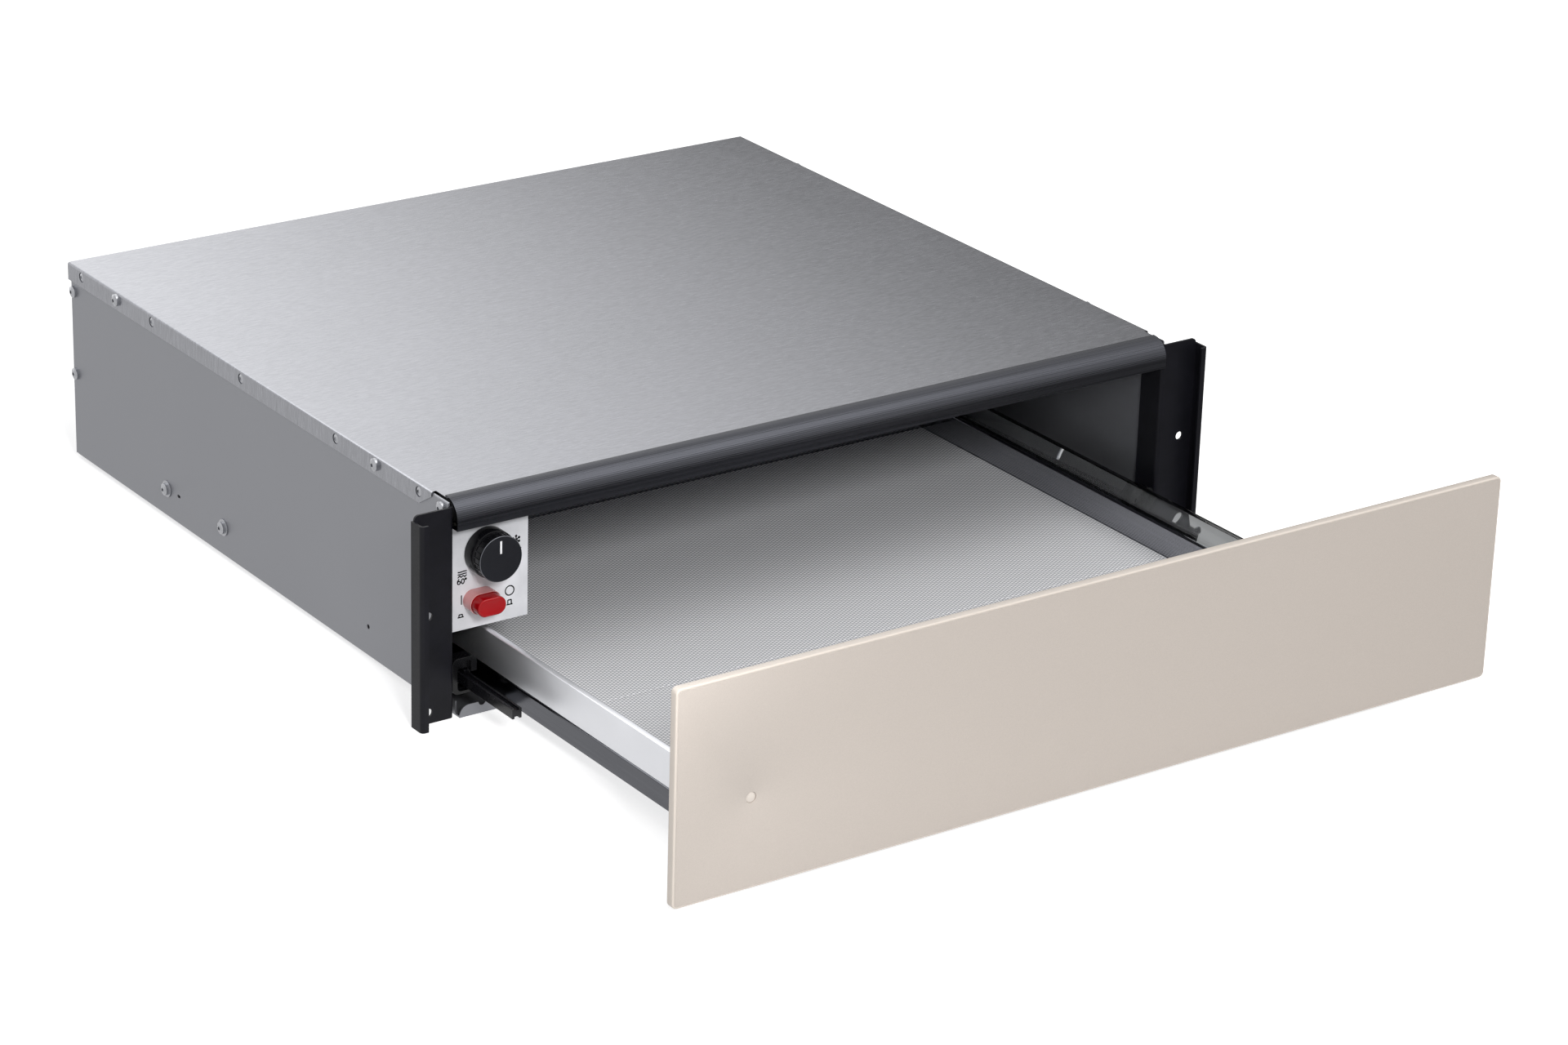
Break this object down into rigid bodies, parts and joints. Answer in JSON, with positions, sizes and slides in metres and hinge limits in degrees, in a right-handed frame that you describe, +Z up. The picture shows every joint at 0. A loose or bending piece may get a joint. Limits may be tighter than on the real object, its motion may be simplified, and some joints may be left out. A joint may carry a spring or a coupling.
{
  "type": "warming drawer",
  "caption": "Built-in warming drawer: sheet-metal case with side mounting flanges, pulled-out drawer with glass sides, thermostat knob and push button.",
  "frame": {"origin": "on the underside of the base, midway between the sides, in the rear plane of the mounting flanges", "axes": "+X to the user's right, +Y to the rear, +Z up; the drawer is pulled out towards -Y at rest"},
  "size_m": [0.594, 0.77, 0.1388],
  "materials": {
    "galvanised_steel": "galvanised sheet, satin",
    "cover_steel": "brushed sheet",
    "polished_steel": "polished sheet",
    "trim_grey": "dark anodised, fine ridges along its length",
    "flange_black": "black powder coat, satin",
    "ceiling_enamel": "dark enamel",
    "aluminised_steel": "aluminised sheet",
    "element_sheath": "heat-darkened sheath",
    "motor_black": "satin",
    "copper_bulb": "plain copper tube",
    "bakelite": "matt",
    "plate_white": "pale satin paint",
    "box_black": "matt",
    "thermostat_white": "ceramic-like moulding",
    "collar_pink": "translucent",
    "button_red": "translucent red",
    "nylon_white": "natural nylon",
    "gland_black": "matt",
    "loom_orange": "heat-proof sleeving",
    "screw_steel": "bright zinc",
    "spacer_steel": "zinc plated",
    "slide_black": "black coated steel",
    "guide_black": "glass-filled nylon",
    "panel_champagne": "champagne lacquer, satin",
    "pane_glass": "clear tempered glass",
    "mat_grey": "fine dotted anti-slip mat",
    "lens_clear": "milky lens",
    "bumper_rubber": "soft",
    "knob_black": "satin",
    "pointer_white": "printed inlay",
    "wheel_alu": "plain",
    "shaft_steel": "ground"
  },
  "bodies": {
    "cabinet": {"base_pan": "galvanised_steel", "left_side_panel": "galvanised_steel", "right_side_panel": "galvanised_steel", "back_panel": "galvanised_steel", "top_cover": "cover_steel", "front_trim": "trim_grey", "left_flange": "flange_black", "right_flange": "flange_black", "ceiling_plate": "ceiling_enamel", "hot_air_duct": "aluminised_steel", "heating_element": "element_sheath", "element_clips": "nylon_white", "fan_motor": "motor_black", "sensor_bulb": "copper_bulb", "limit_thermostat": "bakelite", "control_plate": "plate_white", "control_box": "box_black", "thermostat_body": "thermostat_white", "switch_body": "bakelite", "button_collar": "collar_pink", "terminal_block": "nylon_white", "cable_gland": "gland_black", "wiring_loom": "loom_orange", "latch_body": "box_black", "cover_screws": "screw_steel", "side_screws": "screw_steel", "back_screws": "screw_steel", "flange_screws": "screw_steel", "slide_screws": "screw_steel", "slide_washers": "spacer_steel", "slide_spacers": "spacer_steel", "left_slide_outer": "slide_black", "right_slide_outer": "slide_black", "left_slide_guide": "guide_black", "right_slide_guide": "guide_black"},
    "drawer": {"front_panel": "panel_champagne", "front_carrier": "galvanised_steel", "drawer_pan": "polished_steel", "left_side_rail": "galvanised_steel", "right_side_rail": "galvanised_steel", "left_pane": "pane_glass", "right_pane": "pane_glass", "anti_slip_mat": "mat_grey", "left_slide_inner": "slide_black", "right_slide_inner": "slide_black", "indicator_lens": "lens_clear", "carrier_screws": "screw_steel", "panel_bumpers": "bumper_rubber", "latch_striker": "spacer_steel"},
    "left_slide": {"left_slide_middle": "slide_black"},
    "right_slide": {"right_slide_middle": "slide_black"},
    "knob": {"thermostat_knob": "knob_black", "knob_pointer": "pointer_white", "thermostat_shaft": "shaft_steel"},
    "button": {"power_button": "button_red"},
    "fan": {"fan_wheel": "wheel_alu", "fan_shaft": "shaft_steel"},
    "latch_pin": {"latch_plunger": "shaft_steel"}
  },
  "joints": [
    {"name": "drawer_slide", "type": "slide", "parent": "cabinet", "child": "drawer", "axis": [0, -1, 0], "range_m": [-0.2645, 0.13]},
    {"name": "left_slide_run", "type": "slide", "parent": "cabinet", "child": "left_slide", "axis": [0, -1, 0], "range_m": [-0.13225, 0.065]},
    {"name": "right_slide_run", "type": "slide", "parent": "cabinet", "child": "right_slide", "axis": [0, -1, 0], "range_m": [-0.13225, 0.065]},
    {"name": "knob_turn", "type": "hinge", "parent": "cabinet", "child": "knob", "pos_m": [-0.2385, 0, 0.0995], "axis": [0, 1, 0], "range_deg": [0, 240]},
    {"name": "button_press", "type": "slide", "parent": "cabinet", "child": "button", "axis": [0, 1, 0], "range_m": [0, 0.003], "stiffness_N_per_m": 400},
    {"name": "fan_spin", "type": "hinge", "parent": "cabinet", "child": "fan", "pos_m": [0, 0.3, 0.12], "axis": [0, 0, 1], "continuous": true},
    {"name": "latch_push", "type": "slide", "parent": "cabinet", "child": "latch_pin", "axis": [0, 1, 0], "range_m": [0, 0.004], "stiffness_N_per_m": 300}
  ],
  "couplings": [
    {"joint": "left_slide_run", "follows": "drawer_slide", "ratio": 0.5},
    {"joint": "right_slide_run", "follows": "drawer_slide", "ratio": 0.5}
  ]
}
